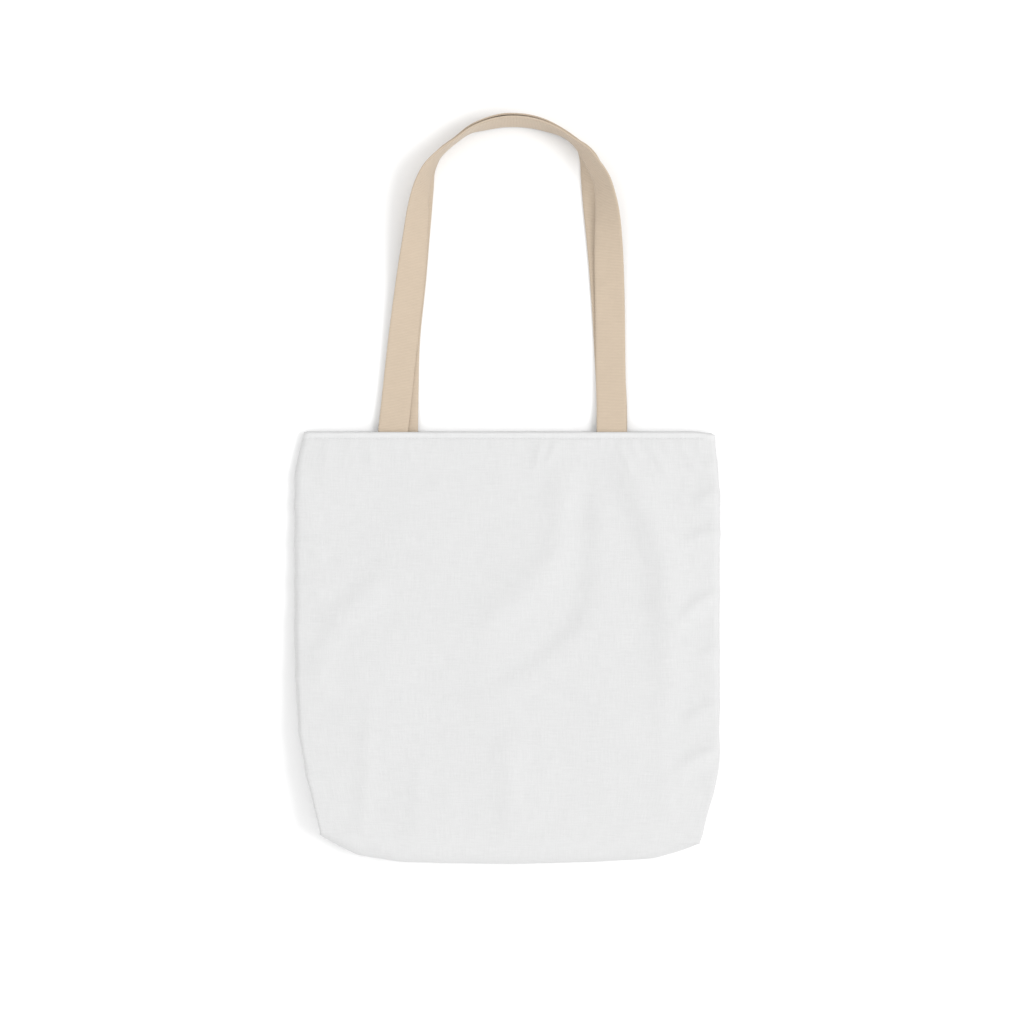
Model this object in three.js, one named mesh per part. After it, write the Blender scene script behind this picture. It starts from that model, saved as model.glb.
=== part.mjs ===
// Flat canvas tote bag lying on its back panel, handles laid out above the mouth.
// Millimetres. +X across the bag, +Y from the bottom towards the handles, +Z up out of the front panel.
import * as THREE from "three";

// Overall layout along Y, counted from the mouth's edge.
const MOUTH_Y = 47.05;
const CORNER_DROP = 343;

// Cloth, hems and thread.
const CLOTH = 1.2;
const GAP = 0.3;
const HEM_DEPTH = 9.5;
const HEM_CLOTH = 1;
const HEM_LIFT = 1;
const THREAD = 0.5;
const STITCH_INSET = 5.4;
const STITCH_PITCH = 4;
const STITCH_DIP = 0.22;

// Thickness of the lying bag: nearly flat at the mouth, slumped boxed base at the bottom.
const MOUTH_THICK = 10.8;
const BASE_THICK = 36;
const FLAT_MOUTH = 14;
const SLOPE_POWER = 1.12;

// Webbing of the two handles.
const WEBBING_WIDTH = 25.4;
const WEBBING_THICK = 1.6;
const TAIL_LENGTH = 24;
const FLEX_OFFSET = 1;
const FLEX_GAP = 0.3;

// Seam allowances turned to the inside.
const SEAM_WIDTH = 7;
const SEAM_THICK = 1.2;
const SEAM_INSET = 3.6;

const WHITE = new THREE.Color(0.82, 0.82, 0.82);
const BEIGE = new THREE.Color(0.69, 0.57, 0.45);

const root = new THREE.Group();
root.name = "canvas_tote_bag";

// Adds one named mesh with a material of its own.
function addPiece(name, geometry, color, roughness) {
  const material = new THREE.MeshStandardMaterial({ color, roughness, metalness: 0 });
  const mesh = new THREE.Mesh(geometry, material);
  mesh.name = name;
  root.add(mesh);
}

// A smooth value between given places of a rising or falling list of [place, value].
function along(list, place) {
  const rising = list[0][0] < list[list.length - 1][0];
  const sorted = rising ? list : [...list].reverse();
  if (place <= sorted[0][0]) return sorted[0][1];
  for (let i = 1; i < sorted.length; i += 1) {
    if (place <= sorted[i][0]) {
      const share = (place - sorted[i - 1][0]) / (sorted[i][0] - sorted[i - 1][0]);
      return THREE.MathUtils.lerp(sorted[i - 1][1], sorted[i][1], share);
    }
  }
  return sorted[sorted.length - 1][1];
}

// Half width of the bag at a drop below the mouth.
const HALF_WIDTH = [
  [0, 174.5], [14, 177], [32, 179.5], [58, 180.6], [200, 180.6], [240, 179.6],
  [270, 177.2], [296, 173], [320, 167.6], [343, 161.5],
];
// How far the bottom fold stands out beyond the box corners, at a distance from the middle.
const FOLD_BULGE = [
  [0, 23.8], [48, 23.2], [91, 21.6], [113, 18.8], [126, 15.5], [140, 10.5], [151, 6], [161.5, 2],
];
// Width of the rounded edge of the body, at a drop below the mouth.
const EDGE_WIDTH = [
  [0, 20], [30, 24], [120, 40], [220, 40], [300, 26], [343, 18],
];

function thickness(drop) {
  const share = Math.max(0, drop - FLAT_MOUTH) / (CORNER_DROP - FLAT_MOUTH);
  return MOUTH_THICK + (BASE_THICK - MOUTH_THICK) * Math.pow(share, SLOPE_POWER);
}

function seamHeight(drop) {
  return thickness(drop) / 2 + (HEM_LIFT / 2) * lift(drop);
}

// Share of the hem's small lift off the table.
function lift(drop) {
  return 1 - THREE.MathUtils.smoothstep(drop, 12, 40);
}

// Rows of the cloth: drops below the mouth, then turns of the rounded bottom in degrees.
const ROWS = [];
for (const drop of [0, 10, 20, 40, 70, 110, 160, 210, 250, 280, 305, 325, 343]) {
  ROWS.push({ drop, turn: 0 });
}
for (const turn of [25, 50, 72, 90]) {
  ROWS.push({ drop: CORNER_DROP, turn });
}
// Columns of the cloth from the left seam to the right: edge turn in degrees, or a flat share.
const COLUMNS = [];
for (const turn of [90, 72, 54, 36, 18]) {
  COLUMNS.push({ side: -1, turn });
}
for (let i = 0; i <= 6; i += 1) {
  COLUMNS.push({ side: i / 3 - 1, turn: 0 });
}
for (const turn of [18, 36, 54, 72, 90]) {
  COLUMNS.push({ side: 1, turn });
}

// A point on the outside of the front (face 1) or back (face -1) of the bag.
function clothPoint(face, row, column) {
  const edge = along(EDGE_WIDTH, row.drop);
  const flat = along(HALF_WIDTH, row.drop) - edge;
  const bend = THREE.MathUtils.degToRad(column.turn);
  const x = column.side * (flat + edge * Math.sin(bend));
  const seam = seamHeight(row.drop);
  const level = face > 0 ? thickness(row.drop) : HEM_LIFT * lift(row.drop);
  const roll = THREE.MathUtils.degToRad(row.turn);
  const reach = Math.abs(level - seam) - GAP / 2;
  const z = seam + face * (GAP / 2 + reach * Math.cos(bend) * Math.cos(roll));
  const y = MOUTH_Y - row.drop - along(FOLD_BULGE, Math.abs(x)) * Math.sin(roll);
  return new THREE.Vector3(x, y, z);
}

function gridPoints(face, rows, columns) {
  return rows.map((row) => columns.map((column) => clothPoint(face, row, column)));
}

// Outward normals of a grid, from its neighbours; level along the seams and the bottom fold.
function gridNormals(points, face, rows, columns) {
  const lastRow = points.length - 1;
  const lastColumn = points[0].length - 1;
  return points.map((line, i) => line.map((_, j) => {
    const a = points[Math.min(i + 1, lastRow)][j].clone().sub(points[Math.max(i - 1, 0)][j]);
    const b = line[Math.min(j + 1, lastColumn)].clone().sub(line[Math.max(j - 1, 0)]);
    const normal = a.cross(b).multiplyScalar(face);
    if (rows[i].turn === 90 || columns[j].turn === 90) normal.z = 0;
    return normal.normalize();
  }));
}

// Closed body between two grids of equal size; upper is the outer one when face is 1.
function shellBetween(upper, lower, face) {
  const rows = upper.length;
  const columns = upper[0].length;
  const positions = [];
  const indices = [];
  for (const grid of [upper, lower]) {
    for (const line of grid) {
      for (const point of line) {
        positions.push(point.x, point.y, point.z);
      }
    }
  }
  const at = (layer, i, j) => layer * rows * columns + i * columns + j;
  const quad = (a, b, c, d) => {
    if (face > 0) indices.push(a, b, c, a, c, d);
    else indices.push(a, c, b, a, d, c);
  };
  for (let i = 0; i + 1 < rows; i += 1) {
    for (let j = 0; j + 1 < columns; j += 1) {
      quad(at(0, i, j), at(0, i + 1, j), at(0, i + 1, j + 1), at(0, i, j + 1));
      quad(at(1, i, j), at(1, i, j + 1), at(1, i + 1, j + 1), at(1, i + 1, j));
    }
  }
  for (let j = 0; j + 1 < columns; j += 1) {
    quad(at(0, 0, j), at(0, 0, j + 1), at(1, 0, j + 1), at(1, 0, j));
    quad(at(0, rows - 1, j + 1), at(0, rows - 1, j), at(1, rows - 1, j), at(1, rows - 1, j + 1));
  }
  for (let i = 0; i + 1 < rows; i += 1) {
    quad(at(0, i + 1, 0), at(0, i, 0), at(1, i, 0), at(1, i + 1, 0));
    quad(at(0, i, columns - 1), at(0, i + 1, columns - 1), at(1, i + 1, columns - 1), at(1, i, columns - 1));
  }
  const geometry = new THREE.BufferGeometry();
  geometry.setAttribute("position", new THREE.Float32BufferAttribute(positions, 3));
  geometry.setIndex(indices);
  geometry.computeVertexNormals();
  return geometry;
}

// A layer of cloth between two depths under the bag's outer surface.
function clothLayer(face, rows, columns, depthOut, depthIn) {
  const points = gridPoints(face, rows, columns);
  const normals = gridNormals(points, face, rows, columns);
  const sunk = (depth) => points.map((line, i) => line.map((point, j) => (
    point.clone().addScaledVector(normals[i][j], -depth)
  )));
  return shellBetween(sunk(depthOut), sunk(depthIn), face);
}

addPiece("front_panel", clothLayer(1, ROWS, COLUMNS, 0, CLOTH), WHITE, 0.92);
addPiece("back_panel", clothLayer(-1, ROWS, COLUMNS, 0, CLOTH), WHITE, 0.92);

// Narrow turned-in hems round the mouth.
const HEM_ROWS = [{ drop: GAP, turn: 0 }, { drop: HEM_DEPTH, turn: 0 }];
const HEM_COLUMNS = COLUMNS.filter((column) => column.turn <= 36);
const hemOut = CLOTH + GAP;
const hemIn = hemOut + HEM_CLOTH;
addPiece("front_hem", clothLayer(1, HEM_ROWS, HEM_COLUMNS, hemOut, hemIn), WHITE, 0.92);
addPiece("back_hem", clothLayer(-1, HEM_ROWS, HEM_COLUMNS, hemOut, hemIn), WHITE, 0.92);

// A row of lockstitches as one scalloped thread lying on the cloth.
function stitchRow(halfLength, z, face) {
  const shape = new THREE.Shape();
  const count = Math.round((2 * halfLength) / STITCH_PITCH);
  const pitch = (2 * halfLength) / count;
  shape.moveTo(-halfLength, 0);
  for (let i = 0; i < count; i += 1) {
    const start = -halfLength + i * pitch;
    shape.lineTo(start + pitch * 0.25, face * THREAD);
    shape.lineTo(start + pitch * 0.75, face * THREAD);
    shape.lineTo(start + pitch, face * (THREAD - STITCH_DIP) * (i + 1 < count ? 1 : 0));
  }
  shape.closePath();
  const geometry = new THREE.ExtrudeGeometry(shape, { depth: THREAD * 1.4, bevelEnabled: false });
  geometry.rotateX(Math.PI / 2);
  geometry.translate(0, MOUTH_Y - STITCH_INSET + THREAD * 0.7, z);
  return geometry;
}
const STITCH_HALF = 152;
addPiece("front_hem_stitching", stitchRow(STITCH_HALF, MOUTH_THICK + GAP, 1), WHITE, 0.8);
addPiece("back_hem_stitching", stitchRow(STITCH_HALF, HEM_LIFT - GAP, -1), WHITE, 0.8);

// Side seam allowances, two layers of cloth lying inside along each side.
function sideSeam(side) {
  const drops = [14, 40, 70, 110, 160, 210, 250, 280, 305, 322];
  const upper = [];
  const lower = [];
  for (const drop of drops) {
    const outer = along(HALF_WIDTH, drop) - SEAM_INSET;
    const y = MOUTH_Y - drop;
    const z = seamHeight(drop);
    const xs = side > 0 ? [outer - SEAM_WIDTH, outer] : [-outer, SEAM_WIDTH - outer];
    upper.push(xs.map((x) => new THREE.Vector3(x, y, z + SEAM_THICK / 2)));
    lower.push(xs.map((x) => new THREE.Vector3(x, y, z - SEAM_THICK / 2)));
  }
  return shellBetween(upper, lower, 1);
}
addPiece("left_side_seam", sideSeam(-1), WHITE, 0.92);
addPiece("right_side_seam", sideSeam(1), WHITE, 0.92);

// Short seams of the boxed corners, standing up inside each bottom corner.
function cornerSeam(side) {
  const length = 8;
  const height = BASE_THICK - 14;
  const geometry = new THREE.BoxGeometry(length, SEAM_THICK, height);
  geometry.rotateZ(side > 0 ? Math.PI * 0.75 : Math.PI * 0.25);
  geometry.translate(side * (161.5 - 8.5), MOUTH_Y - CORNER_DROP + 6, BASE_THICK / 2);
  return geometry;
}
addPiece("left_corner_seam", cornerSeam(-1), WHITE, 0.92);
addPiece("right_corner_seam", cornerSeam(1), WHITE, 0.92);

// Levels of the webbing inside the mouth, at mid thickness.
const BACK_WEBBING_Z = HEM_LIFT + CLOTH + HEM_CLOTH + 2 * GAP + WEBBING_THICK / 2;
const FRONT_WEBBING_Z = MOUTH_THICK - CLOTH - HEM_CLOTH - 2 * GAP - WEBBING_THICK / 2;

// Laid-out path of each handle: x, distance above the mouth, tilt of the webbing, height of its lower edge.
const START = FLEX_OFFSET + FLEX_GAP;
const FRONT_PATH = [
  [-97.0, START, 0, FRONT_WEBBING_Z], [-96.4, 8, 1, 5.6], [-94.0, 30, 4, 3.6], [-88.8, 78, 8, 2.8],
  [-82.4, 129, 17, 3], [-78.6, 160, 31, 4.4], [-75.4, 190, 42, 6], [-71.6, 211, 55, 6.4],
  [-66.2, 222, 71, 5], [-62.0, 228.8, 80, 3.4], [-58.4, 233.4, 83.5, 2.4], [-45.0, 246, 85, 1.2],
  [-32.3, 254.9, 84, 0.8], [-19.8, 260.1, 79, 0.6], [-6.4, 263.2, 76.5, 0.6], [4.0, 263.7, 76, 0.6],
  [20.2, 262.6, 77, 0.6], [33.3, 259.4, 80, 0.7], [46.0, 253.2, 84, 1.2], [56.0, 245.2, 85, 2.2],
  [61.9, 238.7, 83, 4.6], [67.9, 231.4, 76, 9], [74.8, 223.6, 66, 11.2], [81.4, 210, 51, 10.8],
  [85.3, 188.6, 38, 8.6], [86.2, 166, 24, 6], [86.9, 142, 12, 4], [87.8, 104, 6, 2.8],
  [88.4, 50, 4, 2.8], [89.0, 24, 3, 4], [89.0, 8, 1, 5.8], [89.0, START, 0, FRONT_WEBBING_Z],
];
const BACK_PATH = [
  [-88.5, START, 0, BACK_WEBBING_Z], [-88.5, 8, 1, 2.6], [-88.3, 30, 3, 1.1], [-87.4, 78, 5, 0.5],
  [-81.8, 129, 12, 0.5], [-77.4, 160, 20, 0.5], [-73.8, 190, 31, 0.5], [-71.2, 212, 46, 0.5],
  [-67.8, 223.2, 66, 0.5], [-63.9, 230.3, 78, 0.5], [-60.2, 235.2, 82.5, 0.5], [-46.4, 248, 84.5, 0.5],
  [-33.7, 257.7, 81, 0.5], [-20.8, 263.3, 73, 0.5], [-6.7, 266.8, 70, 0.5], [4.0, 267.4, 69, 0.5],
  [20.6, 266, 71.5, 0.5], [34.1, 261.9, 78, 0.5], [47.3, 255.7, 82.5, 0.5], [57.9, 247.6, 81, 0.5],
  [64.6, 240.6, 72, 0.5], [69.6, 231.4, 55, 0.5], [72.7, 220, 40, 0.5], [75.0, 208, 28, 0.5],
  [77.2, 190, 20, 0.5], [80.0, 166, 14, 0.5], [82.4, 142, 8, 0.5], [85.2, 104, 4, 0.5],
  [88.2, 50, 2, 0.6], [89.6, 24, 1, 1.4], [89.8, 8, 1, 2.8], [89.8, START, 0, BACK_WEBBING_Z],
];

// Webbing swept along a path, turning from lying flat to standing on its edge.
function webbing(path, samples) {
  const anchors = path.map(([x, up, tilt, low], i) => {
    const turned = THREE.MathUtils.degToRad(tilt);
    const end = i === 0 || i === path.length - 1;
    const raise = (WEBBING_WIDTH / 2) * Math.sin(turned) + (WEBBING_THICK / 2) * Math.cos(turned);
    return new THREE.Vector4(x, MOUTH_Y + up, end ? low : low + raise, turned);
  });
  const place = new THREE.CatmullRomCurve3(
    anchors.map((a) => new THREE.Vector3(a.x, a.y, a.z)), false, "centripetal",
  );
  const twist = new THREE.CatmullRomCurve3(
    anchors.map((a, i) => new THREE.Vector3(i, a.w, 0)), false, "catmullrom", 0.5,
  );
  const upper = [];
  const lower = [];
  for (let i = 0; i <= samples; i += 1) {
    const t = i / samples;
    const centre = place.getPoint(t);
    const heading = place.getTangent(t);
    const end = i === 0 || i === samples;
    const tilt = end ? 0 : Math.max(0, twist.getPoint(t).y);
    const across = new THREE.Vector3(-heading.y, heading.x, 0).normalize();
    if (end) across.set(i === 0 ? -1 : 1, 0, 0);
    const width = across.clone().multiplyScalar(Math.cos(tilt));
    width.z = Math.sin(tilt);
    const normal = across.clone().multiplyScalar(-Math.sin(tilt));
    normal.z = Math.cos(tilt);
    const edge = (side, layer) => centre.clone()
      .addScaledVector(width, side * WEBBING_WIDTH / 2)
      .addScaledVector(normal, layer * WEBBING_THICK / 2);
    upper.push([edge(-1, 1), edge(0, 1), edge(1, 1)]);
    lower.push([edge(-1, -1), edge(0, -1), edge(1, -1)]);
  }
  return shellBetween(upper, lower, 1);
}
addPiece("front_handle", webbing(FRONT_PATH, 108), BEIGE, 0.9);
addPiece("back_handle", webbing(BACK_PATH, 108), BEIGE, 0.9);

// Sewn-down ends of the webbing inside the mouth.
function tail(x, z) {
  const length = TAIL_LENGTH + FLEX_OFFSET - FLEX_GAP;
  const geometry = new THREE.BoxGeometry(WEBBING_WIDTH, length, WEBBING_THICK);
  geometry.translate(x, MOUTH_Y - TAIL_LENGTH + length / 2, z);
  return geometry;
}
const ENDS = [
  ["front_left_handle_end", FRONT_PATH[0][0], FRONT_WEBBING_Z],
  ["front_right_handle_end", FRONT_PATH[FRONT_PATH.length - 1][0], FRONT_WEBBING_Z],
  ["back_left_handle_end", BACK_PATH[0][0], BACK_WEBBING_Z],
  ["back_right_handle_end", BACK_PATH[BACK_PATH.length - 1][0], BACK_WEBBING_Z],
];
for (const [name, x, z] of ENDS) {
  addPiece(name, tail(x, z), BEIGE, 0.9);
}

export default root;
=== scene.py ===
"""White canvas tote bag lying on its back, beige webbing handles laid out above the mouth."""
import math

import bpy
import numpy as np
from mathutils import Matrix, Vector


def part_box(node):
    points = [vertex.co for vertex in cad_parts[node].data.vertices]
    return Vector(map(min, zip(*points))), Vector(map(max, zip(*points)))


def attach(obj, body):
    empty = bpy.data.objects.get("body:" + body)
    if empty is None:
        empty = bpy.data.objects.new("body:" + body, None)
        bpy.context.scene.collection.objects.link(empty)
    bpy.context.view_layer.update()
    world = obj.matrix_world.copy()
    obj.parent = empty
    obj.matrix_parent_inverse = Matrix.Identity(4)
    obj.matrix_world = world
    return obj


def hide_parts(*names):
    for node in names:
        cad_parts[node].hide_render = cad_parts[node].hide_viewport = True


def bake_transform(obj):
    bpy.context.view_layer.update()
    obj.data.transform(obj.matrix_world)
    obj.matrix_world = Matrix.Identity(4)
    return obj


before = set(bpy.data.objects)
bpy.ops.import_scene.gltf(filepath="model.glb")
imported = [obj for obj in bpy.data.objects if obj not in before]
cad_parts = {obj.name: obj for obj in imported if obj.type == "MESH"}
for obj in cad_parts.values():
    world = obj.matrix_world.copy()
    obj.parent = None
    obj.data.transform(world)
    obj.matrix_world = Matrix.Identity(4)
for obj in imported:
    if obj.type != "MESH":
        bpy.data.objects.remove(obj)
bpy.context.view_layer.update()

scene = bpy.context.scene
MM = 0.001

# ---------------------------------------------------------------- camera
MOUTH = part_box("front_panel")[1][1] / MM
cam_data = bpy.data.cameras.new("camera")
cam = bpy.data.objects.new("camera", cam_data)
scene.collection.objects.link(cam)
CAM_HEIGHT = 3.0
SENSOR = 36.0
SEEN_WIDTH = 0.8704  # metres across the picture at SEEN_LEVEL, about the bag's middle height
SEEN_LEVEL = 0.014
AIM_X = 0.00425
AIM_BELOW_MOUTH = 68.0
cam_data.sensor_width = SENSOR
cam_data.lens = SENSOR * (CAM_HEIGHT - SEEN_LEVEL) / SEEN_WIDTH
cam.location = (AIM_X, (MOUTH - AIM_BELOW_MOUTH) * MM, CAM_HEIGHT)
cam.rotation_euler = (0.0, 0.0, 0.0)
cam_data.clip_end = 20.0
scene.camera = cam
scene.view_settings.view_transform = "Standard"
scene.view_settings.look = "None"


# ---------------------------------------------------------------- node helpers
def new_material(name, roughness):
    mat = bpy.data.materials.new(name)
    mat.use_nodes = True
    tree = mat.node_tree
    bsdf = tree.nodes["Principled BSDF"]
    bsdf.inputs["Roughness"].default_value = roughness
    return mat, tree, bsdf


def math_node(tree, operation, a, b=None):
    made = tree.nodes.new("ShaderNodeMath")
    made.operation = operation
    for index, value in enumerate((a, b)):
        if value is None:
            continue
        if isinstance(value, (int, float)):
            made.inputs[index].default_value = value
        else:
            tree.links.new(value, made.inputs[index])
    return made.outputs[0]


def uv_mapped(tree, scale=(1.0, 1.0, 1.0), rotation=0.0):
    uv = tree.nodes.new("ShaderNodeUVMap")
    uv.uv_map = "cloth"
    mapping = tree.nodes.new("ShaderNodeMapping")
    mapping.inputs["Scale"].default_value = scale
    mapping.inputs["Rotation"].default_value = (0.0, 0.0, rotation)
    tree.links.new(uv.outputs["UV"], mapping.inputs["Vector"])
    return mapping.outputs["Vector"]


BAND = 0.3142  # a wave texture of scale BAND / pitch repeats once every pitch


def wave(tree, vector, direction, pitch, distortion=0.0):
    """Parallel bands across a direction, pitch metres apart."""
    made = tree.nodes.new("ShaderNodeTexWave")
    made.wave_type = "BANDS"
    made.bands_direction = direction
    made.inputs["Scale"].default_value = BAND / pitch
    made.inputs["Distortion"].default_value = distortion
    made.inputs["Detail"].default_value = 1.0
    tree.links.new(vector, made.inputs["Vector"])
    return made.outputs["Fac"]


def noise_tex(tree, vector, scale, detail=3.0, roughness=0.55):
    made = tree.nodes.new("ShaderNodeTexNoise")
    made.inputs["Scale"].default_value = scale
    made.inputs["Detail"].default_value = detail
    made.inputs["Roughness"].default_value = roughness
    tree.links.new(vector, made.inputs["Vector"])
    return made.outputs["Fac"]


def tinted(tree, base, factor):
    """base colour times a grey factor."""
    mix = tree.nodes.new("ShaderNodeMix")
    mix.data_type = "RGBA"
    mix.blend_type = "MULTIPLY"
    mix.inputs["Factor"].default_value = 1.0
    mix.inputs[6].default_value = (*base, 1.0)
    combine = tree.nodes.new("ShaderNodeCombineColor")
    for channel in ("Red", "Green", "Blue"):
        tree.links.new(factor, combine.inputs[channel])
    tree.links.new(combine.outputs["Color"], mix.inputs[7])
    return mix.outputs[2]


def product(tree, *values):
    """The values multiplied together, from left to right."""
    total = values[0]
    for value in values[1:]:
        total = math_node(tree, "MULTIPLY", total, value)
    return total


def centred(tree, value, gain):
    """1 + gain * (value - 0.5)."""
    shifted = math_node(tree, "SUBTRACT", value, 0.5)
    return math_node(tree, "ADD", product(tree, shifted, gain), 1.0)


def bump(tree, bsdf, height, distance, strength):
    made = tree.nodes.new("ShaderNodeBump")
    made.inputs["Strength"].default_value = strength
    made.inputs["Distance"].default_value = distance
    tree.links.new(height, made.inputs["Height"])
    tree.links.new(made.outputs["Normal"], bsdf.inputs["Normal"])


# ---------------------------------------------------------------- materials
CANVAS_COLOR = (0.529, 0.53, 0.53)
WEBBING_COLOR = (0.452, 0.370, 0.284)
THREAD_COLOR = (0.60, 0.60, 0.60)
FLOOR_COLOR = (0.80, 0.80, 0.80)
CANVAS_PITCH = 0.00062
RIB_PITCH = 0.00128
CORD_PITCH = 0.00105
TWIST_PITCH = 0.0004
# Distances from the mouth in metres: the doubled cloth is whiter above the first, plain below the second;
# part of this whiter colour is a painted highlight standing in for light on the hem's lip.
DOUBLED_AND_HIGHLIGHT_TO = 0.0044
PLAIN_NO_HIGHLIGHT_FROM = 0.0056
DOUBLED_AND_HIGHLIGHT_GAIN = 1.045


def doubled_hem_and_painted_highlight(tree, vector):
    """A touch more white where the hem doubles the cloth, above the stitches; partly a painted highlight for
    light on the lip.
    """
    parts = tree.nodes.new("ShaderNodeSeparateXYZ")
    tree.links.new(vector, parts.inputs["Vector"])
    ramp = tree.nodes.new("ShaderNodeMapRange")
    ramp.inputs["From Min"].default_value = PLAIN_NO_HIGHLIGHT_FROM
    ramp.inputs["From Max"].default_value = DOUBLED_AND_HIGHLIGHT_TO
    ramp.inputs["To Min"].default_value = 1.0
    ramp.inputs["To Max"].default_value = DOUBLED_AND_HIGHLIGHT_GAIN
    tree.links.new(math_node(tree, "ABSOLUTE", parts.outputs["Y"]), ramp.inputs["Value"])
    return ramp.outputs["Result"]


def canvas_material():
    mat, tree, bsdf = new_material("canvas", 0.93)
    plain = uv_mapped(tree)
    warp = wave(tree, plain, "X", CANVAS_PITCH, 1.5)
    weft = wave(tree, plain, "Y", CANVAS_PITCH, 1.5)
    slub_x = noise_tex(tree, uv_mapped(tree, (60.0, 1100.0, 1.0)), 1.0, 2.0)
    slub_y = noise_tex(tree, uv_mapped(tree, (1100.0, 60.0, 1.0)), 1.0, 2.0)
    mottle = noise_tex(tree, plain, 16.0, 4.0)
    fine = noise_tex(tree, plain, 900.0, 2.0)
    # the last factor whitens the hem band: doubled cloth, partly a painted highlight for light on the lip
    shade = product(tree, centred(tree, slub_x, 0.12), centred(tree, slub_y, 0.12),
                    centred(tree, mottle, 0.03), centred(tree, fine, 0.06), doubled_hem_and_painted_highlight(tree, plain))
    tree.links.new(tinted(tree, CANVAS_COLOR, shade), bsdf.inputs["Base Color"])
    height = math_node(tree, "ADD", product(tree, warp, weft, 0.5), slub_x)
    height = math_node(tree, "ADD", height, slub_y)
    bump(tree, bsdf, height, 0.00016, 0.8)
    rough = math_node(tree, "ADD", product(tree, fine, 0.08), 0.88)
    tree.links.new(rough, bsdf.inputs["Roughness"])
    bsdf.inputs["Sheen Weight"].default_value = 0.12
    bsdf.inputs["Sheen Roughness"].default_value = 0.6
    bsdf.inputs["Specular IOR Level"].default_value = 0.2
    return mat


def webbing_material():
    mat, tree, bsdf = new_material("webbing", 0.85)
    plain = uv_mapped(tree)
    ribs = wave(tree, plain, "Y", RIB_PITCH, 0.6)
    cords = wave(tree, plain, "X", CORD_PITCH, 0.8)
    blotch = noise_tex(tree, plain, 45.0, 3.0)
    yarn = noise_tex(tree, uv_mapped(tree, (90.0, 1500.0, 1.0)), 1.0, 2.0)
    fibre = noise_tex(tree, plain, 1600.0, 2.0)
    shade = product(tree, centred(tree, ribs, 0.11), centred(tree, yarn, 0.14),
                    centred(tree, blotch, 0.09), centred(tree, cords, 0.05))
    tree.links.new(tinted(tree, WEBBING_COLOR, shade), bsdf.inputs["Base Color"])
    height = math_node(tree, "ADD", ribs, product(tree, cords, 0.4))
    height = math_node(tree, "ADD", height, product(tree, fibre, 0.5))
    bump(tree, bsdf, height, 0.0002, 0.7)
    bsdf.inputs["Sheen Weight"].default_value = 0.2
    bsdf.inputs["Sheen Roughness"].default_value = 0.5
    bsdf.inputs["Specular IOR Level"].default_value = 0.25
    return mat


def thread_material():
    mat, tree, bsdf = new_material("thread", 0.6)
    twist = wave(tree, uv_mapped(tree, rotation=0.6), "X", TWIST_PITCH)
    fine = noise_tex(tree, uv_mapped(tree), 2500.0, 1.0)
    shade = product(tree, centred(tree, twist, 0.12), centred(tree, fine, 0.08))
    tree.links.new(tinted(tree, THREAD_COLOR, shade), bsdf.inputs["Base Color"])
    bump(tree, bsdf, twist, 0.00008, 0.8)
    bsdf.inputs["Sheen Weight"].default_value = 0.1
    return mat


def floor_material():
    mat, tree, bsdf = new_material("floor", 1.0)
    coords = tree.nodes.new("ShaderNodeTexCoord")
    grain = noise_tex(tree, coords.outputs["Object"], 3.0, 2.0)
    tree.links.new(tinted(tree, FLOOR_COLOR, centred(tree, grain, 0.004)), bsdf.inputs["Base Color"])
    bsdf.inputs["Specular IOR Level"].default_value = 0.0
    return mat


canvas = canvas_material()
webbing = webbing_material()
thread = thread_material()


# ---------------------------------------------------------------- mesh helpers
def build_object(name, verts, faces, uvs, material):
    """verts in mm; uvs is one (u, v) in metres per vertex."""
    mesh = bpy.data.meshes.new(name)
    mesh.from_pydata((np.asarray(verts) * MM).tolist(), [], faces)
    layer = mesh.uv_layers.new(name="cloth")
    loops = np.zeros(len(mesh.loops), np.int64)
    mesh.loops.foreach_get("vertex_index", loops)
    layer.data.foreach_set("uv", np.asarray(uvs, float)[loops].astype(np.float32).ravel())
    mesh.materials.append(material)
    mesh.polygons.foreach_set("use_smooth", [True] * len(mesh.polygons))
    mesh.update()
    obj = bpy.data.objects.new(name, mesh)
    scene.collection.objects.link(obj)
    return obj


def thicken(piece, thick, offset):
    """Gives a sheet its thickness in mm; offset -1 grows it inwards and 0 both ways."""
    solid = piece.modifiers.new("cloth", "SOLIDIFY")
    solid.thickness = thick * MM
    solid.offset = offset


def running_length(points):
    """Distance along a row of points, from 0 at the first."""
    return np.concatenate([[0], np.cumsum(np.linalg.norm(np.diff(points, axis=0), axis=1))])


def grid_faces(down, across, start=0, flip=False, wrap=False):
    """Quads between the points of a grid; wrap joins the last column to the first."""
    faces = []
    span = across if wrap else across - 1
    for i in range(down - 1):
        for j in range(span):
            k = (j + 1) % across
            quad = (start + i * across + j, start + (i + 1) * across + j,
                    start + (i + 1) * across + k, start + i * across + k)
            faces.append(quad[::-1] if flip else quad)
    return faces


def smooth_table(points, at, blur=5.0):
    """Piecewise values rounded by a small blur; points is [(place, value), ...]."""
    xs = np.array([p[0] for p in points], float)
    ys = np.array([p[1] for p in points], float)
    at = np.asarray(at, float)
    offsets = np.linspace(-1.5, 1.5, 13) * blur
    weights = np.exp(-0.5 * (offsets / blur) ** 2)
    total = sum(w * np.interp(at + o, xs, ys) for o, w in zip(offsets, weights))
    return total / weights.sum()


WAVES = 26


def wander(x, y, seed, shortest, longest):
    """Soft random field with unit spread, made of waves between two lengths in mm."""
    rng = np.random.default_rng(seed)
    total = np.zeros(np.broadcast(x, y).shape)
    power = 0.0
    for _ in range(WAVES):
        length = math.exp(rng.uniform(math.log(shortest), math.log(longest)))
        angle = rng.uniform(0, 2 * math.pi)
        phase = rng.uniform(0, 2 * math.pi)
        weight = length / longest
        total += weight * np.sin((x * math.cos(angle) + y * math.sin(angle)) * 2 * math.pi / length + phase)
        power += weight * weight / 2
    return total / math.sqrt(power)


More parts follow.
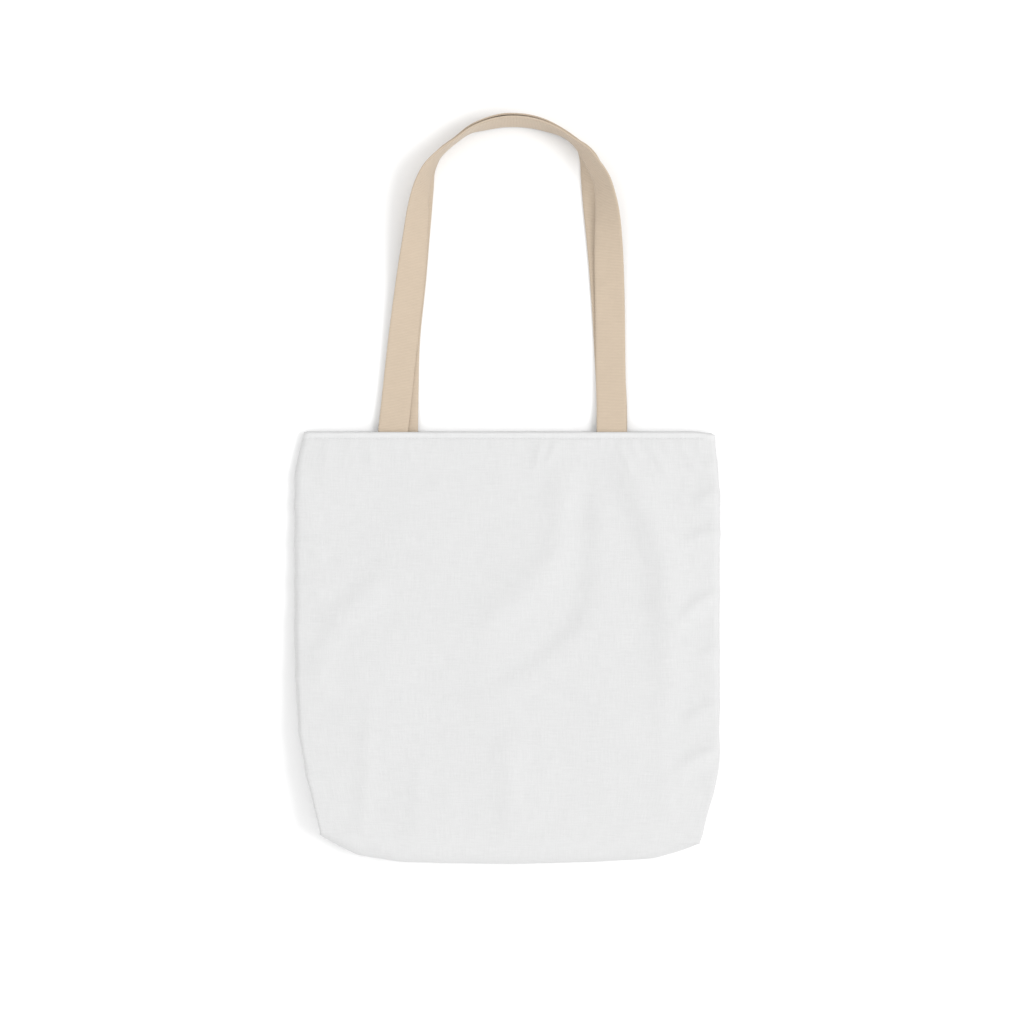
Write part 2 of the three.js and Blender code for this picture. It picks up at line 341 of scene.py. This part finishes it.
def crease(x, y, path, width, height, ends):
    """A soft ridge along a path of points, which fades out over the share ends at each end."""
    path = np.array(path, float)
    seg = np.diff(path, axis=0)
    lengths = np.hypot(seg[:, 0], seg[:, 1])
    whole = lengths.sum()
    best = np.full(x.shape, 1e9)
    where = np.zeros(x.shape)
    run = 0.0
    for p, s, length in zip(path[:-1], seg, lengths):
        t = np.clip(((x - p[0]) * s[0] + (y - p[1]) * s[1]) / length ** 2, 0, 1)
        away = np.hypot(x - p[0] - t * s[0], y - p[1] - t * s[1])
        near = away < best
        best = np.where(near, away, best)
        where = np.where(near, (run + t * length) / whole, where)
        run += length
    fade = np.clip(where / ends, 0, 1) * np.clip((1 - where) / ends, 0, 1)
    fade = fade * fade * (3 - 2 * fade)
    return height * np.exp(-(best / width) ** 2) * fade


# ---------------------------------------------------------------- the bag's shape
# All in mm. "Drop" is the distance below the mouth.
CORNER = 343.0  # drop of the box corners
CORNER_TILT = 4.5  # the right corner hangs lower than the middle by this, the left one higher
CORNER_HALF = 161.0
# Outlines of the left and right sides: drop, distance from the middle.
LEFT = [(0, 173), (10, 175.6), (20, 178), (32, 180), (58, 181), (185, 181), (228, 179.4), (262, 176.3),
        (279, 173.4), (296, 169.7), (313, 166), (327, 162.6), (338, 159.8), (348, 157.5)]
RIGHT = [(0, 177.2), (15, 178.2), (32, 180.2), (58, 181.5), (279, 180.6), (296, 177), (313, 172),
         (330, 167.5), (338, 166), (348, 161.5)]
# How far the bottom fold reaches past the box corners: x, reach.
BULGE = [(-161.5, 1.5), (-150, 8.2), (-135, 15.8), (-125, 20), (-91, 24.2), (-48, 24.3), (0, 23.8),
         (37, 22), (79, 19.4), (123, 15.5), (142, 10), (158, 4.1), (162, 1.5)]
# Round of the sides: drop, radius; and drop, exponent, where 2 is a round edge and less is a sharper one.
SIDE_RADIUS = [(0, 4.5), (40, 5.5), (120, 6), (200, 5.5), (260, 3.6), (343, 2.6)]
SIDE_EXPONENT = [(0, 1.8), (60, 1.9), (200, 2.0), (290, 2.4), (343, 2.8)]
# How much the front panel falls towards its sides: drop, share of the way to the seam.
SLACK = [(0, 0.0), (30, 0.03), (120, 0.1), (220, 0.1), (300, 0.05), (343, 0.04)]
BOTTOM_EXPONENT = 2.1
MOUTH_THICK = 10.8
BASE_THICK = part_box("front_panel")[1][2] / MM
LEVEL_TO = 14.0  # the bag keeps its mouth thickness down to this drop
THICKENING = 1.3
HEM_LIFT = 1.0  # the back hem lies this far off the floor
LIFT_FROM, LIFT_OVER = 12.0, 28.0
STITCH_DROP = 5.4
STITCH_PITCH = 3.4
CORNER_DIP = 2.0  # the mouth's right corner dips by about this
DIP_FROM, DIP_OVER, DIP_DOWN_TO = 160.0, 16.0, 40.0
CLOTH = 0.7
ALLOWANCE_CLOTH = 0.9


def thickness(drop):
    share = np.clip(drop - LEVEL_TO, 0, None) / (CORNER - LEVEL_TO)
    return MOUTH_THICK + (BASE_THICK - MOUTH_THICK) * np.minimum(share, 1.0) ** THICKENING


def lift(drop):
    """1 at the hem, easing to 0 where the back panel rests on the floor."""
    t = np.clip((drop - LIFT_FROM) / LIFT_OVER, 0, 1)
    return 1 - t * t * (3 - 2 * t)


def seam_height(drop):
    """Height of the side seams, about half way up the bag."""
    return thickness(drop) / 2 + 0.5 * HEM_LIFT * lift(drop)


def cloth_grid(face, fall, roll, side, turn):
    """Points of one face of the bag. fall and roll describe rows, side and turn describe columns.

    fall is the share of the way from the mouth to the box corners, roll the turn round the bottom,
    side runs from -1 to 1 over the flat part, and turn is the angle round the side's edge.
    """
    fall, roll = fall[:, None], roll[:, None]
    side, turn = side[None, :], turn[None, :]
    drop_mid = fall * CORNER
    left = smooth_table(LEFT, drop_mid, 4.0)
    right = smooth_table(RIGHT, drop_mid, 4.0)
    half = np.where(side < 0, left, right)
    edge = smooth_table(SIDE_RADIUS, drop_mid)
    exponent = smooth_table(SIDE_EXPONENT, drop_mid)
    reach = np.sin(turn) ** (2 / exponent)
    fallen = np.cos(turn) ** (2 / exponent)
    x = side * (half - edge) + np.sign(side) * edge * reach
    drop = fall * (CORNER + CORNER_TILT * np.clip(x / CORNER_HALF, -1.1, 1.1))
    seam = seam_height(drop_mid)
    top = thickness(drop_mid)
    slack = smooth_table(SLACK, drop_mid)
    top_here = top - (top - seam) * slack * np.abs(x / half) ** 3
    level = top_here if face > 0 else HEM_LIFT * lift(drop_mid)
    down = np.cos(roll) ** (2 / BOTTOM_EXPONENT)
    out = np.sin(roll) ** (2 / BOTTOM_EXPONENT)
    z = seam + (level - seam) * fallen * down
    bulge = smooth_table(BULGE, x, 3.0)
    dip = np.clip((x - DIP_FROM) / DIP_OVER, 0, 1.1)
    y = -drop - bulge * out - CORNER_DIP * dip ** 1.3 * np.clip(1 - drop / DIP_DOWN_TO, 0, 1)
    return x, y, z


def hem_relief(x, drop):
    """The raised lip above the stitch row and the groove that the stitches pull in."""
    lip = 0.2 * np.clip(1 - drop / STITCH_DROP, 0, 1) ** 0.8
    groove = -0.12 * np.exp(-((drop - STITCH_DROP) / 1.1) ** 2)
    pull = 1 + 0.35 * np.sin(x * 2 * math.pi / STITCH_PITCH)
    inner = 0.08 * np.exp(-((drop - 8.2) / 1.9) ** 2)
    return lip + groove * pull + inner


# Ridges of the front panel: points (x, distance from the mouth), half width, height.
RIDGES = [
    ([(50, -8), (46, -45), (46, -76), (41, -103), (22, -131), (-11, -156), (-46, -172)], 14, 2.5),
    ([(76, -18), (79, -80), (81, -125), (70, -164), (38, -193), (-4, -219), (-40, -236)], 14, 1.5),
    ([(88, -7), (106, -45), (124, -79), (134, -109), (137, -143), (138, -185), (136, -245)], 15, 3.4),
    ([(134, -205), (133, -250), (134, -300), (133, -340)], 11, 1.1),
    ([(-94, -106), (-119, -138), (-142, -161), (-156, -187), (-162, -236)], 11.5, 2.0),
    ([(-116, -215), (-119, -290), (-122, -350)], 7.5, 1.35),
    ([(-76, -270), (-75, -315), (-74, -352)], 8, 0.8),
    ([(0, -250), (3, -305), (6, -350)], 12, 1.8),
    ([(44, -262), (30, -300), (20, -345)], 10, 0.7),
]
# Valleys of the front panel, in the same terms.
VALLEYS = [
    ([(76, -5), (68, -41), (63, -79), (63, -105), (60, -139), (46, -166), (25, -187), (-8, -209),
      (-34, -228)], 10, 1.3),
    ([(82, -5), (91, -45), (105, -79), (113, -109), (115, -150), (114, -195)], 13, 1.2),
    ([(-98, -92), (-124, -122), (-150, -143), (-170, -168)], 9, 0.35),
]
# Short creases running in from the sides: side, distance from the mouth, reach, fall, height.
EDGE_CREASES = [
    (1, 22, 24, 14, 1.4), (1, 48, 30, 18, 2.1), (1, 84, 38, 10, 2.3), (1, 132, 48, 40, 2.8),
    (1, 182, 28, 14, 1.2), (1, 228, 42, 26, 2.1), (1, 266, 50, 28, 2.4), (1, 304, 24, 18, 0.9),
    (-1, 34, 20, 16, 1.4), (-1, 58, 30, 20, 1.7), (-1, 90, 38, 20, 2.3), (-1, 126, 40, 14, 1.9),
    (-1, 160, 26, 16, 1.2), (-1, 205, 28, 12, 1.1), (-1, 250, 34, 18, 1.2), (-1, 286, 34, 16, 1.2),
]
# Puckers just under the hem: x, lean, length, height.
PUCKERS = [
    (-152, -4, 30, 0.7), (-130, -7, 18, 0.4), (-117, 1, 26, 0.7), (-97, 4, 16, 0.35), (-84, 2, 22, 0.5),
    (-60, -5, 18, 0.4), (-22, -2, 20, 0.3), (10, -3, 16, 0.3), (31, -9, 32, 1.4), (45, -13, 26, 1.3),
    (62, -4, 16, 0.5), (94, 14, 34, 1.1), (105, 8, 20, 0.9), (117, 24, 38, 1.2), (131, 9, 18, 0.6),
    (145, 20, 34, 0.8), (160, 8, 22, 0.7),
]
EDGE_CREASE_FROM = 190.0  # just outside the sides
EDGE_CREASE_WIDTH = 6.5
PUCKER_START = 4.5
PUCKER_WIDTH = 3.8


def below_hem(drop):
    """0 on the hem, rising to 1 where the cloth is free to wander."""
    return np.clip((drop - 6) / 30, 0, 1)


def front_relief(x, y):
    """Creases and slack of the front panel; y counts from the mouth, downwards negative."""
    drop = -y
    h = hem_relief(x, drop)
    free = below_hem(drop)
    h = h + 0.4 * free * wander(x, y, 5, 60, 190)
    h = h + 0.1 * free * wander(x, y, 8, 18, 50)
    for path, width, height in RIDGES:
        h = h + crease(x, y, path, width, height, 0.22)
    for path, width, height in VALLEYS:
        h = h - crease(x, y, path, width, height, 0.2)
    for sign, start, reach, fall, height in EDGE_CREASES:
        inner = EDGE_CREASE_FROM - 4
        path = [(sign * EDGE_CREASE_FROM, -start), (sign * (inner - reach * 0.5), -start - fall * 0.35),
                (sign * (inner - reach), -start - fall)]
        h = h + crease(x, y, path, EDGE_CREASE_WIDTH, height, 0.4)
    for place, lean, length, height in PUCKERS:
        path = [(place, -PUCKER_START), (place + lean, -PUCKER_START - length)]
        h = h + crease(x, y, path, PUCKER_WIDTH, height, 0.3)
    return h


def back_relief(x, y):
    """Slack of the back panel: below the hem it only lifts off the floor, into the bag."""
    drop = -y
    free = below_hem(drop)
    broad = 0.25 * np.abs(free * wander(x, y, 21, 50, 160))
    small = 0.1 * np.abs(free * wander(x, y, 23, 14, 40))
    return hem_relief(x, drop) - broad - small


def grid_normals(p):
    a = np.gradient(p, axis=0)
    b = np.gradient(p, axis=1)
    n = np.cross(a, b)
    return n / np.maximum(np.linalg.norm(n, axis=2, keepdims=True), 1e-9)


FLOOR_GAP = 0.05


def face_points(face, fall, roll, side, turn):
    """Points of one face with its relief; the sides are pinched in along the seam."""
    x, y, z = cloth_grid(face, fall, roll, side, turn)
    p = np.stack([x, y, z], axis=2)
    n = grid_normals(p) * face
    near_fold = np.cos(roll)[:, None] ** 0.7
    near_seam = np.cos(turn)[None, :] ** 0.5
    relief = front_relief(x, y) if face > 0 else back_relief(x, y)
    grown = relief * near_fold * near_seam
    pinch = -0.5 * np.exp(-((turn[None, :] - math.pi / 2) / 0.12) ** 2) * (1 - fall[:, None] ** 10)
    p = p + n * (grown + pinch)[:, :, None]
    if face < 0:
        p[:, :, 2] = np.maximum(p[:, :, 2], FLOOR_GAP)
    return p


STEP = 1.9
HANDLE_STEP = 1.3
FLAT_WIDTH = 340.0
SIDE_TURNS = np.radians(np.array([90, 82, 72, 60, 46, 30, 14], float))
HEM_DROPS = [0.6, 1.5, 2.5, 3.4, 4.2, 4.9, 5.4, 5.9, 6.6, 7.5, 8.6, 10]
BELOW_HEM = 12.0


def columns():
    """side and turn of each column, from the left seam to the right one."""
    count = int(FLAT_WIDTH / STEP)
    flat = np.linspace(-1, 1, count + 1)
    side = np.concatenate([-np.ones(len(SIDE_TURNS)), flat, np.ones(len(SIDE_TURNS))])
    turn = np.concatenate([SIDE_TURNS, np.zeros(count + 1), SIDE_TURNS[::-1]])
    return side, turn


def rows():
    """fall and roll of each row, from the mouth to the middle of the bottom fold."""
    top = np.array(HEM_DROPS) / CORNER
    rest = np.linspace(BELOW_HEM / CORNER, 1, int((CORNER - BELOW_HEM) / STEP))
    turns = np.radians(np.linspace(0, 90, 18)[1:])
    fall = np.concatenate([top, rest, np.ones(len(turns))])
    roll = np.concatenate([np.zeros(len(top) + len(rest)), turns])
    return fall, roll


WIDTH_ROW = 40  # the row whose length gives u, well below the hem
BACK_UV = 0.9  # metres between the two faces' places in the uv map


def cloth_body():
    """Front and back in one mesh, welded down both sides and along the bottom fold."""
    side, turn = columns()
    fall, roll = rows()
    verts, faces, uvs = [], [], []
    count = len(fall) * len(side)
    for index, face in enumerate((1, -1)):
        p = face_points(face, fall, roll, side, turn)
        across = running_length(p[WIDTH_ROW][:, [0, 2]])
        along = running_length(p[:, len(side) // 2][:, [1, 2]])
        u, v = np.meshgrid(across, along * face)
        verts.append(p.reshape(-1, 3))
        uvs.append(np.stack([u, v], axis=2).reshape(-1, 2) * MM + (BACK_UV * index, 0.0))
        faces += grid_faces(len(fall), len(side), index * count, flip=face < 0)
    verts = np.concatenate(verts)
    verts[:, 1] += MOUTH
    grids = np.arange(len(verts)).reshape(2, len(fall), len(side))
    keep = np.arange(len(verts))
    for edge in (grids[:, :, 0], grids[:, :, -1], grids[:, -1, :]):
        verts[edge[0]] = (verts[edge[0]] + verts[edge[1]]) / 2
        keep[edge[1]] = edge[0]
    corners = np.array(faces)
    faces = [tuple(int(keep[i]) for i in f) for f in faces]
    whole = [k for k, f in enumerate(faces) if len(set(f)) == 4]
    faces = [faces[k] for k in whole]
    used = np.zeros(len(verts), bool)
    used[np.unique(np.array(faces))] = True
    number = np.cumsum(used) - 1
    faces = [tuple(int(number[i]) for i in f) for f in faces]
    uvs = np.concatenate(uvs)
    body = build_object("canvas_body", verts[used], faces, uvs[used], canvas)
    # Each face keeps its own side's uvs at the welded edges.
    body.data.uv_layers["cloth"].data.foreach_set("uv", uvs[corners[whole]].astype(np.float32).ravel())
    thicken(body, CLOTH, -1.0)
    return body


body = cloth_body()
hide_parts("front_panel", "back_panel")


# ---------------------------------------------------------------- hems
# The hem's outline: distance from the mouth, depth below the cloth's surface.
HEM_PROFILE = [
    (9.6, 2.0), (9.9, 2.6), (8.5, 2.9), (5.4, 2.45), (2.5, 2.75), (1.2, 2.6), (0.4, 2.2), (-0.1, 1.5),
    (0.0, 0.75), (0.5, 0.15), (1.2, 0.1), (1.6, 0.8), (5.4, 1.0), (9.0, 1.1),
]
HEM_LINES = np.array([0.6, 3.0, 5.4, 8.0, 10.0])
# How far round the sides each hem goes, in degrees.
FRONT_HEM_TURN = 84
BACK_HEM_TURN = 40
BACK_HEM_RISE = 0.6
HEM_UV = 2.0


def hem(name, face):
    """The turned-in edge: a doubled band inside the mouth with a rounded lip over the top."""
    side, turn = columns()
    cut = turn < math.radians(FRONT_HEM_TURN if face > 0 else BACK_HEM_TURN)
    side, turn = side[cut], turn[cut]
    base = face_points(face, HEM_LINES / CORNER, np.zeros(len(HEM_LINES)), side, turn)
    out = (grid_normals(base) * face)[0]
    count = len(side)
    rings = []
    for drop, depth in HEM_PROFILE:
        at = np.clip(drop, HEM_LINES[0], HEM_LINES[-1])
        line = np.stack([
            [np.interp(at, HEM_LINES, base[:, j, k]) for j in range(count)] for k in range(3)
        ], axis=1)
        line = line - out * depth
        line[:, 1] += at - drop
        rings.append(line)
    rings = np.array(rings)
    if face < 0:
        rings[:, :, 1] += BACK_HEM_RISE
    rings[:, :, 2] += 0.06 * np.sin(rings[:, :, 0] * 2 * math.pi / STITCH_PITCH)
    around = running_length(rings[:, count // 2])
    across = rings[0, :, 0] - rings[0, 0, 0]
    u, v = np.meshgrid(across, around)
    verts = rings.reshape(-1, 3).copy()
    verts[:, 1] += MOUTH
    last = (len(HEM_PROFILE) - 1) * count
    closing = [(j, last + j, last + j + 1, j + 1) for j in range(count - 1)]
    starts = tuple(range(0, last + count, count))
    ends = tuple(range(count - 1, last + count, count))
    faces = grid_faces(len(HEM_PROFILE), count, flip=face < 0)
    faces += [q[::-1] for q in closing] if face > 0 else closing
    faces.append(starts if face > 0 else starts[::-1])
    faces.append(ends[::-1] if face > 0 else ends)
    uv = np.stack([u, v], axis=2).reshape(-1, 2) * MM + (HEM_UV + face * 0.1, 0.0)
    return build_object(name, verts, faces, uv, canvas)


front_hem = hem("front_hem_fold", 1)
back_hem = hem("back_hem_fold", -1)
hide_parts("front_hem")
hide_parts("back_hem")


# ---------------------------------------------------------------- stitches
STITCH_HALF = 1.25
# One stitch from end to end: share of its half length, radius.
STITCH_SHAPE = [(-1, 0.08), (-0.82, 0.2), (-0.4, 0.27), (0, 0.29), (0.4, 0.27), (0.82, 0.2), (1, 0.08)]
STITCHES_FROM, STITCHES_TO = -167, 169


def stitches(name, face):
    """Lockstitches: short rounded threads sunk in the groove."""
    side, turn = columns()
    fall = np.array([0.6, 4.9, STITCH_DROP, 5.9, 10.0]) / CORNER
    line = face_points(face, fall, np.zeros(len(fall)), side, turn)[2]
    order = np.argsort(line[:, 0])
    xs, ys, zs = (line[order, k] for k in range(3))
    ring = np.radians(np.arange(0, 360, 45))
    verts, faces, uvs = [], [], []
    rng = np.random.default_rng(4)
    for place in np.arange(STITCHES_FROM, STITCHES_TO, STITCH_PITCH):
        centre = place + rng.uniform(-0.12, 0.12)
        lean = rng.uniform(-0.08, 0.08)
        start = len(verts)
        for share, radius in STITCH_SHAPE:
            x = centre + share * STITCH_HALF
            base_z = np.interp(x, xs, zs) + face * (0.1 + 0.12 * (1 - share * share))
            base_y = np.interp(x, xs, ys) + lean * share
            for a in ring:
                verts.append((x, MOUTH + base_y + radius * math.cos(a), base_z + radius * math.sin(a)))
                uvs.append(((x + 400) * MM, a * 0.0003))
        faces += grid_faces(len(STITCH_SHAPE), len(ring), start, wrap=True)
        faces.append(tuple(range(start, start + len(ring))))
        last = start + (len(STITCH_SHAPE) - 1) * len(ring)
        faces.append(tuple(range(last + len(ring) - 1, last - 1, -1)))
    return build_object(name, verts, faces, uvs, thread)


front_stitches = stitches("front_hem_stitches", 1)
back_stitches = stitches("back_hem_stitches", -1)
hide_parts("front_hem_stitching")
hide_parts("back_hem_stitching")


# ---------------------------------------------------------------- seam allowances inside
ALLOWANCE = 9.5  # the allowances' inner edge, from the side's outline


def allowance(name, verts, faces, uvs):
    strip = build_object(name, verts, faces, uvs, canvas)
    thicken(strip, ALLOWANCE_CLOTH, 0.0)
    return strip


def side_seam(name, sign):
    """The seam allowance down one side, which flutters more where the bag is thicker."""
    drops = np.arange(13.0, 326.0, 3.0)
    half = smooth_table(LEFT if sign < 0 else RIGHT, drops, 4.0)
    ins = np.linspace(1.3, ALLOWANCE, 6)
    rng = np.random.default_rng(31 + sign)
    phase = rng.uniform(0, 6)
    verts, uvs = [], []
    for i, drop in enumerate(drops):
        seam = seam_height(drop)
        room = min(1.0, (thickness(drop) - 9.0) / 8)
        for inset in ins:
            flutter = (inset / ALLOWANCE) ** 2 * (0.5 + 1.2 * max(room, 0.0)) * math.sin(drop * 0.085 + phase)
            verts.append((sign * (half[i] - inset), MOUTH - drop, seam + flutter))
            uvs.append((inset * MM + 3.0, drop * MM))
    return allowance(name, verts, grid_faces(len(drops), len(ins), flip=sign > 0), uvs)


def corner_seam(name, sign):
    """The short upright seam of one box corner."""
    corner_drop = CORNER + sign * CORNER_TILT
    heights = np.linspace(6, 30, 13)
    ins = np.linspace(3.2, ALLOWANCE, 5)
    verts, uvs = [], []
    for h in heights:
        for inset in ins:
            bow = 0.6 * math.sin(h * 0.3) * (inset / ALLOWANCE)
            x = sign * (CORNER_HALF - inset * 0.75 - 2.0)
            verts.append((x, MOUTH - corner_drop + inset * 0.7 + 2.0 + bow, h))
            uvs.append((inset * MM + 3.5, h * MM))
    return allowance(name, verts, grid_faces(len(heights), len(ins)), uvs)


left_seam = side_seam("left_side_seam_allowance", -1)
right_seam = side_seam("right_side_seam_allowance", 1)
left_corner = corner_seam("left_corner_seam_allowance", -1)
right_corner = corner_seam("right_corner_seam_allowance", 1)
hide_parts("left_side_seam")
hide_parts("right_side_seam")
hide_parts("left_corner_seam")
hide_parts("right_corner_seam")

# ---------------------------------------------------------------- handles
WIDTH = 25.4
THICK = 1.5
HALF_LAY = 0.8  # half the thickness and a little air
FRONT_Z = 7.2  # heights of the sewn ends
BACK_Z = 4.6
# Points given along the middle of each strap: x, distance above the mouth, tilt in degrees,
# height of the lower edge (None: level of the sewn end).
FRONT_PATH = [
    (-97.0, -24, 0, None), (-97.0, -10, 0, None), (-97.0, 1.3, 0, None), (-96.4, 8, 1, 5.6),
    (-94.0, 30, 4, 3.6), (-88.8, 78, 8, 2.8), (-82.4, 129, 18, 3.4), (-78.6, 161, 34, 4.6),
    (-75.8, 188, 47, 6), (-73.2, 205, 58, 7), (-70.8, 214, 65, 7.4), (-67.3, 222.9, 72, 7.6),
    (-61.9, 231, 79, 7.2), (-54.2, 239.2, 84.5, 6), (-43.9, 247.3, 88, 5), (-31.5, 256, 86.5, 4.2),
    (-18.7, 260.4, 79.5, 3.8), (-6.0, 263.1, 77, 3.6), (4.0, 263.8, 76.2, 3.5), (18.0, 262.9, 77, 3.5),
    (32.3, 259.6, 79.6, 3.6), (46.3, 254, 85.5, 4), (54.8, 248.2, 86, 4.6), (59.9, 243.8, 82, 5.2),
    (63.6, 240, 77, 6.8), (66.9, 236, 72, 8.4), (73.6, 225.6, 65, 10), (80.0, 214.2, 59, 10.6),
    (83.4, 199.5, 48, 9), (85.2, 186, 38, 7.8), (86.2, 166, 25, 5.8), (86.9, 142, 12, 4),
    (87.8, 104, 6, 2.8), (88.4, 50, 4, 2.8), (89.0, 24, 3, 4), (89.0, 8, 1, 5.8), (89.0, 1.3, 0, None),
    (89.0, -10, 0, None), (89.0, -24, 0, None),
]
BACK_PATH = [
    (-88.5, -24, 0, None), (-88.5, -10, 0, None), (-88.5, 1.3, 0, None), (-88.5, 8, 1, 2.6),
    (-88.3, 30, 3, 1.1), (-87.0, 78, 5, 0.5), (-81.6, 129, 14, 0.5), (-77.7, 163, 28, 0.5),
    (-75.4, 180, 35, 0.5), (-72.7, 197, 45, 0.5), (-71.0, 206, 51, 0.5), (-69.2, 214, 58, 0.5),
    (-66.4, 222.4, 69, 0.5), (-62.6, 229.6, 77, 0.5), (-55.2, 240.2, 86, 0.5), (-44.9, 248.6, 90, 0.5),
    (-32.8, 258.2, 90, 0.5), (-20.2, 264.4, 90.5, 0.5), (-7.1, 268.4, 90.8, 0.5), (4.0, 269.4, 91, 0.5),
    (18.9, 268.1, 90.8, 0.5), (33.7, 263.5, 90, 0.5), (47.7, 256, 89.5, 0.5), (56.2, 249.8, 88, 0.5),
    (60.9, 244.8, 82, 0.5), (64.6, 240.4, 72, 0.5), (69.6, 231.4, 55, 0.5), (72.7, 220, 40, 0.5),
    (75.0, 208, 28, 0.5), (77.2, 190, 20, 0.5), (80.0, 166, 14, 0.5), (82.4, 142, 8, 0.5),
    (85.2, 104, 4, 0.5), (88.2, 50, 2, 0.6), (89.6, 24, 1, 1.4), (89.8, 8, 1, 2.8), (89.8, 1.3, 0, None),
    (89.8, -10, 0, None), (89.8, -24, 0, None),
]


def catmull(points, spacing):
    """Centripetal Catmull-Rom through rows of numbers; the first three columns are x, y and z."""
    points = np.asarray(points, float)
    ahead = np.concatenate([[2 * points[0] - points[1]], points, [2 * points[-1] - points[-2]]])
    made = []
    for i in range(len(points) - 1):
        quad = ahead[i:i + 4]
        gaps = np.maximum(np.linalg.norm(np.diff(quad[:, :3], axis=0), axis=1), 1e-6) ** 0.5
        t0, t1 = 0.0, gaps[0]
        t2 = t1 + gaps[1]
        t3 = t2 + gaps[2]
        steps = max(1, int(round(np.linalg.norm(quad[2, :3] - quad[1, :3]) / spacing)))
        for t in np.linspace(t1, t2, steps, endpoint=False):
            a1 = (t1 - t) / (t1 - t0) * quad[0] + (t - t0) / (t1 - t0) * quad[1]
            a2 = (t2 - t) / (t2 - t1) * quad[1] + (t - t1) / (t2 - t1) * quad[2]
            a3 = (t3 - t) / (t3 - t2) * quad[2] + (t - t2) / (t3 - t2) * quad[3]
            b1 = (t2 - t) / (t2 - t0) * a1 + (t - t0) / (t2 - t0) * a2
            b2 = (t3 - t) / (t3 - t1) * a2 + (t - t1) / (t3 - t1) * a3
            made.append((t2 - t) / (t2 - t1) * b1 + (t - t1) / (t2 - t1) * b2)
    made.append(points[-1])
    return np.array(made)


def webbing_section():
    """Outline across the webbing: distance from its middle, side (1 top, -1 underside)."""
    half = WIDTH / 2
    shares = np.linspace(-0.965, 0.965, 13)
    section = [(s * half, 1) for s in shares]
    section += [(0.99 * half, 0.62), (half, 0.0), (0.99 * half, -0.62)]
    section += [(s * half, -1) for s in shares[::-1]]
    section += [(-0.99 * half, -0.62), (-half, 0.0), (-0.99 * half, 0.62)]
    return section


def handle(name, path, level, seed):
    """One strap as a ribbon along its path; returns it with its length in metres."""
    anchors = []
    for x, up, tilt, low in path:
        turned = math.radians(tilt)
        middle = WIDTH / 2 * math.sin(turned) + HALF_LAY * math.cos(turned)
        anchors.append((x, MOUTH + up, level if low is None else low + middle, turned))
    line = catmull(anchors, HANDLE_STEP)
    p = line[:, :3]
    tilt = np.clip(line[:, 3], 0, None)
    heading = np.gradient(p, axis=0)
    flat = np.stack([-heading[:, 1], heading[:, 0], np.zeros(len(p))], axis=1)
    flat /= np.linalg.norm(flat, axis=1, keepdims=True)
    width = flat * np.cos(tilt)[:, None]
    width[:, 2] = np.sin(tilt)
    normal = -flat * np.sin(tilt)[:, None]
    normal[:, 2] = np.cos(tilt)
    run = running_length(p)
    sway = 0.12 * wander(run, np.zeros(len(run)), seed, 25, 90)
    half, thin = WIDTH / 2, THICK / 2
    section = webbing_section()
    verts, uvs = [], []
    for i in range(len(p)):
        for w, layer in section:
            q = abs(w) / half
            selvedge = 0.1 * math.exp(-((q - 0.93) / 0.04) ** 2)
            groove = 0.12 * math.exp(-((q - 0.84) / 0.03) ** 2)
            edge = 1.0 + selvedge - groove
            cup = 0.16 * (1 - q * q) * math.sin(run[i] / 57.0 + seed)
            point = p[i] + width[i] * w + normal[i] * (layer * thin * edge + cup + sway[i] * 0.5)
            verts.append(point)
            uvs.append(((w + half) * MM + (0.1 if layer < 0 else 0.0), run[i] * MM))
    faces = grid_faces(len(p), len(section), flip=True, wrap=True)
    count = len(section)
    faces.append(tuple(range(count)))
    faces.append(tuple((len(p) - 1) * count + j for j in range(count - 1, -1, -1)))
    piece = build_object(name, verts, faces, uvs, webbing)
    return piece, run[-1] * MM


front_strap, front_length = handle("front_webbing_handle", FRONT_PATH, FRONT_Z, 3)
back_strap, back_length = handle("back_webbing_handle", BACK_PATH, BACK_Z, 7)
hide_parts("front_handle", "front_left_handle_end", "front_right_handle_end")
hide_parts("back_handle", "back_left_handle_end", "back_right_handle_end")

# ---------------------------------------------------------------- riding on the bodies
FRONT = "front"
BACK = "bag"
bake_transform(body)
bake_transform(front_hem)
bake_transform(left_seam)
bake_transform(right_seam)
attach(back_hem, BACK)
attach(front_stitches, FRONT)
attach(back_stitches, BACK)
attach(left_corner, BACK)
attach(right_corner, BACK)
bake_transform(front_strap)
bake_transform(back_strap)

# ---------------------------------------------------------------- floor and light
FAR = 6.0
floor_mesh = bpy.data.meshes.new("floor")
floor_corners = [(-FAR, -FAR, 0), (FAR, -FAR, 0), (FAR, FAR, 0), (-FAR, FAR, 0)]
floor_mesh.from_pydata(floor_corners, [], [(0, 1, 2, 3)])
floor = bpy.data.objects.new("floor", floor_mesh)
floor_mesh.materials.append(floor_material())
scene.collection.objects.link(floor)


def area_light(name, place, size, power):
    """A square lamp aimed at the origin."""
    data = bpy.data.lights.new(name, "AREA")
    data.size = size
    data.energy = power
    lamp = bpy.data.objects.new(name, data)
    lamp.location = place
    to = -np.array(place)
    yaw = math.atan2(to[1], to[0]) - math.pi / 2
    pitch = math.atan2(math.hypot(to[0], to[1]), -to[2])
    lamp.rotation_euler = (pitch, 0.0, yaw)
    scene.collection.objects.link(lamp)


area_light("key", (4.9, -0.5, 6.3), 3.0, 266.0)
area_light("fill", (-1.2, -2.4, 2.5), 2.0, 13.0)

WORLD_STRENGTH = 1.195
world = bpy.data.worlds.new("studio")
world.use_nodes = True
background = world.node_tree.nodes["Background"]
background.inputs["Color"].default_value = (1.0, 1.0, 1.0, 1.0)
background.inputs["Strength"].default_value = WORLD_STRENGTH
scene.world = world
